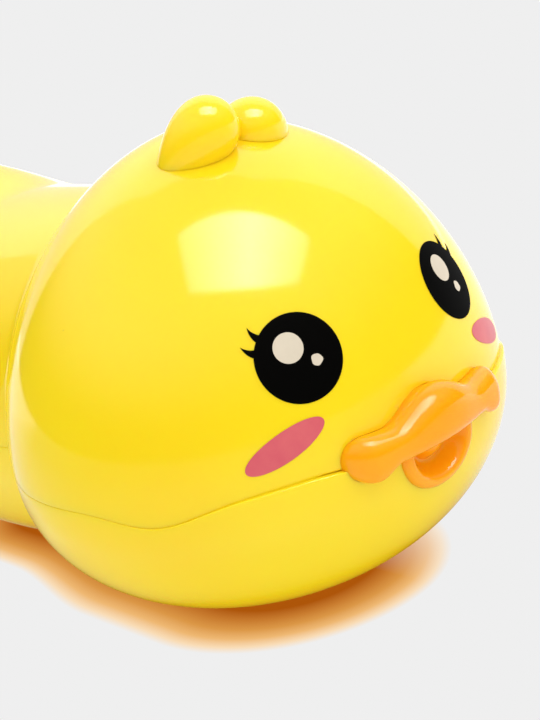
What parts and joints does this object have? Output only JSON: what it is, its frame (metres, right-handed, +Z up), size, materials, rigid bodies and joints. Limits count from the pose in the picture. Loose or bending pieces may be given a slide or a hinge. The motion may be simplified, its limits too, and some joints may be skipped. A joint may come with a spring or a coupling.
{
  "type": "rubber duck",
  "caption": "Hollow hard plastic toy duck with a big round head, a low body with a raised tail, an orange bill with an open mouth and printed eyes and cheeks",
  "frame": {"origin": "On the surface it stands on, under the middle of its overall box", "axes": "+Z up, -Y the way the bill faces, -X the duck's right side"},
  "size_m": [0.1, 0.1664, 0.0954],
  "materials": {
    "yellow": "glossy, slightly translucent",
    "orange": "glossy, slightly translucent",
    "black": "print, glossy",
    "cream": "print, glossy",
    "pink": "print, glossy"
  },
  "bodies": {
    "root": {"upper_shell": "yellow", "lower_shell": "yellow", "bill": "orange", "tuft_right": "yellow", "tuft_left": "yellow", "eye_right": "black", "eye_left": "black", "glint_right_big": "cream", "glint_right_small": "cream", "glint_left_big": "cream", "glint_left_small": "cream", "cheek_right": "pink", "cheek_left": "pink"}
  },
  "joints": []
}
